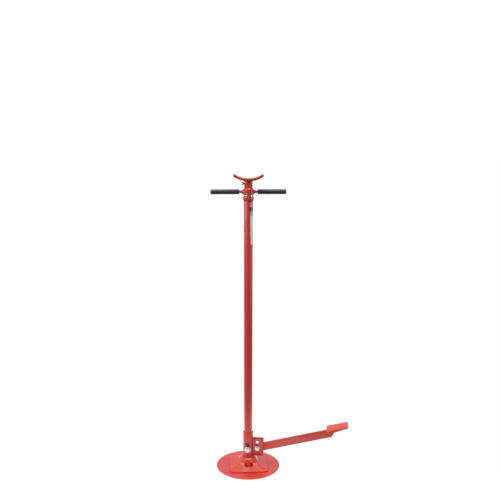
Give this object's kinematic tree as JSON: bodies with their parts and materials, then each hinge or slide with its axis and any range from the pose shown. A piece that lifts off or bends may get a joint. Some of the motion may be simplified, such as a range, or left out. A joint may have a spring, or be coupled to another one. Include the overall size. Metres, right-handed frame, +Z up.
{
  "type": "under-hoist support stand",
  "caption": "Tall round-based support stand with a curved saddle on a spin-handle screw and a foot pedal that lifts the column.",
  "frame": {"origin": "centre of the round base's underside, on the floor", "axes": "+Z up along the column, +X towards the foot pedal, -Y the side of the bolt heads"},
  "size_m": [0.6326, 0.305, 1.3647],
  "materials": {
    "red_paint": "glossy red enamel",
    "bright_zinc": "bright zinc plate",
    "bearing_steel": "polished bearing steel",
    "oiled_steel": "turned steel with a film of oil",
    "black_oxide": "black oxide",
    "black_foam": "matt black foam rubber"
  },
  "bodies": {
    "base": {"base_plate": "red_paint", "base_pedestal": "red_paint", "base_sleeve": "red_paint", "bracket_front": "red_paint", "bracket_rear": "red_paint", "pivot_bolt": "bright_zinc", "pivot_nut": "bright_zinc", "pivot_washer_front": "bright_zinc", "pivot_washer_rear": "bright_zinc"},
    "pedal": {"pedal_arm": "red_paint", "pedal_plate": "red_paint"},
    "column": {"column_tube": "red_paint", "column_collar": "red_paint", "lift_bolt": "bright_zinc", "lift_nut": "bright_zinc", "lift_washer_front": "bright_zinc", "lift_washer_rear": "bright_zinc", "bearing_lower_race": "bearing_steel"},
    "bearing": {"bearing_cage": "bearing_steel", "bearing_ball_01": "bearing_steel", "bearing_ball_02": "bearing_steel", "bearing_ball_03": "bearing_steel", "bearing_ball_04": "bearing_steel", "bearing_ball_05": "bearing_steel", "bearing_ball_06": "bearing_steel", "bearing_ball_07": "bearing_steel", "bearing_ball_08": "bearing_steel", "bearing_ball_09": "bearing_steel", "bearing_ball_10": "bearing_steel", "bearing_ball_11": "bearing_steel", "bearing_ball_12": "bearing_steel"},
    "handle": {"bearing_upper_race": "bearing_steel", "spin_hub": "red_paint", "handle_rod_left": "red_paint", "handle_rod_right": "red_paint", "grip_left": "black_foam", "grip_right": "black_foam"},
    "screw": {"lift_screw": "oiled_steel", "screw_guide": "oiled_steel", "screw_guide_nut": "bright_zinc"},
    "saddle": {"saddle_plate": "red_paint", "saddle_socket": "red_paint"},
    "wing_screw": {"wing_screw": "black_oxide"}
  },
  "joints": [
    {"name": "pedal_swing", "type": "hinge", "parent": "base", "child": "pedal", "pos_m": [0.045, 0, 0.098], "axis": [0, 1, 0], "range_deg": [0, 26]},
    {"name": "column_lift", "type": "slide", "parent": "base", "child": "column", "axis": [0, 0, 1], "range_m": [0, 0.0207]},
    {"name": "handle_spin", "type": "hinge", "parent": "column", "child": "handle", "pos_m": [0, 0, 1.296], "axis": [0, 0, -1], "range_deg": [0, 47448]},
    {"name": "screw_rise", "type": "slide", "parent": "column", "child": "screw", "axis": [0, 0, 1], "range_m": [0, 0.66]},
    {"name": "bearing_spin", "type": "hinge", "parent": "column", "child": "bearing", "pos_m": [0, 0, 1.277], "axis": [0, 0, -1], "range_deg": [0, 23760]},
    {"name": "saddle_swivel", "type": "hinge", "parent": "screw", "child": "saddle", "pos_m": [0, 0, 1.339], "axis": [0, 0, 1], "continuous": true},
    {"name": "wing_screw_turn", "type": "hinge", "parent": "saddle", "child": "wing_screw", "pos_m": [0, 0, 1.327], "axis": [-0.9936, -0.1132, 0], "range_deg": [0, 1440]}
  ],
  "couplings": [
    {"joint": "column_lift", "follows": "pedal_swing", "m_per_rad": 0.0455},
    {"joint": "screw_rise", "follows": "handle_spin", "m_per_rad": 0.00079577},
    {"joint": "bearing_spin", "follows": "handle_spin", "ratio": 0.5}
  ]
}
